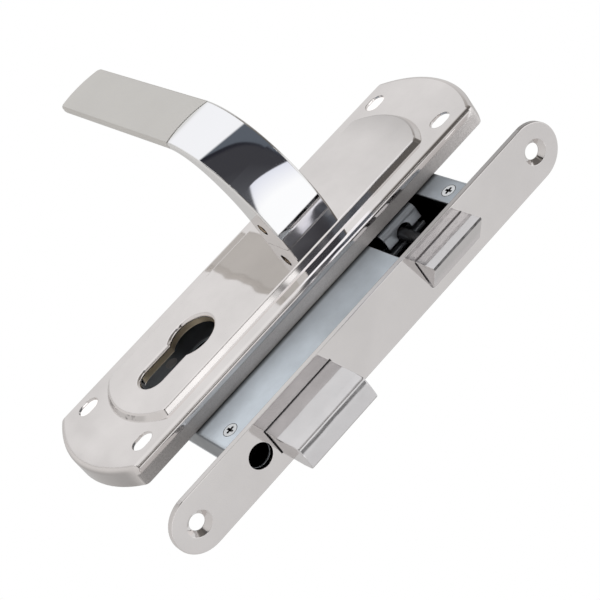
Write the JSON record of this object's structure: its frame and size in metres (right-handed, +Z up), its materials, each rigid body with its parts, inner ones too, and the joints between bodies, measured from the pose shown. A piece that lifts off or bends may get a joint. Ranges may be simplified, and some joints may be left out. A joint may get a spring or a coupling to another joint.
{
  "type": "mortise lock with handle",
  "caption": "Mortise lock with a sprung bevelled latch, a plain deadbolt and a bent lever handle on an arched escutcheon plate with a profile cylinder hole.",
  "frame": {"origin": "middle of the forend's two screw holes, on the forend's front face", "axes": "+X out of the forend, the way the bolts are thrown; +Z up along the forend; the handle is on the -Y side"},
  "size_m": [0.1895, 0.102, 0.1958],
  "materials": {
    "nickel": "polished nickel plate on steel",
    "nickel_lever": "mirror neck and satin grip",
    "latch_nickel": "bright nickel plate",
    "zinc": "bright zinc plate, slightly blue",
    "steel": "plain steel",
    "dark_steel": "blackened steel",
    "cast": "die-cast zinc",
    "brass": "plain"
  },
  "bodies": {
    "case": {"forend": "nickel", "case_tray": "zinc", "case_cover": "zinc", "fixing_blocks": "zinc", "case_screws": "zinc", "rear_pillars": "steel", "case_studs": "steel", "latch_guide": "zinc", "latch_spring": "steel", "follower_spring": "steel", "deadbolt_spring": "steel", "escutcheon_plate": "nickel", "neck_bush": "brass"},
    "handle": {"lever_handle": "nickel_lever", "grub_screw": "brass", "square_spindle": "zinc", "follower": "cast", "lever_washer": "steel", "retaining_ring": "steel"},
    "latch": {"latch_bolt": "latch_nickel", "latch_tail": "dark_steel", "latch_crosshead": "zinc"},
    "deadbolt": {"deadbolt_head": "latch_nickel", "deadbolt_tail": "zinc", "deadbolt_rivets": "latch_nickel"}
  },
  "joints": [
    {"name": "lever_turn", "type": "hinge", "parent": "case", "child": "handle", "pos_m": [-0.0545, 0, 0.019], "axis": [0, -1, 0], "range_deg": [0, 31], "stiffness_Nm_per_rad": 0.6, "springref_deg": -34.38, "deforming": ["follower_spring"]},
    {"name": "latch_slide", "type": "slide", "parent": "case", "child": "latch", "axis": [-1, 0, 0], "range_m": [0, 0.0105], "stiffness_N_per_m": 400, "springref_m": -0.012, "deforming": ["latch_spring"]},
    {"name": "deadbolt_slide", "type": "slide", "parent": "case", "child": "deadbolt", "axis": [-1, 0, 0], "range_m": [0, 0.0195]}
  ],
  "couplings": [
    {"joint": "latch_slide", "follows": "lever_turn", "m_per_rad": 0.01931}
  ]
}
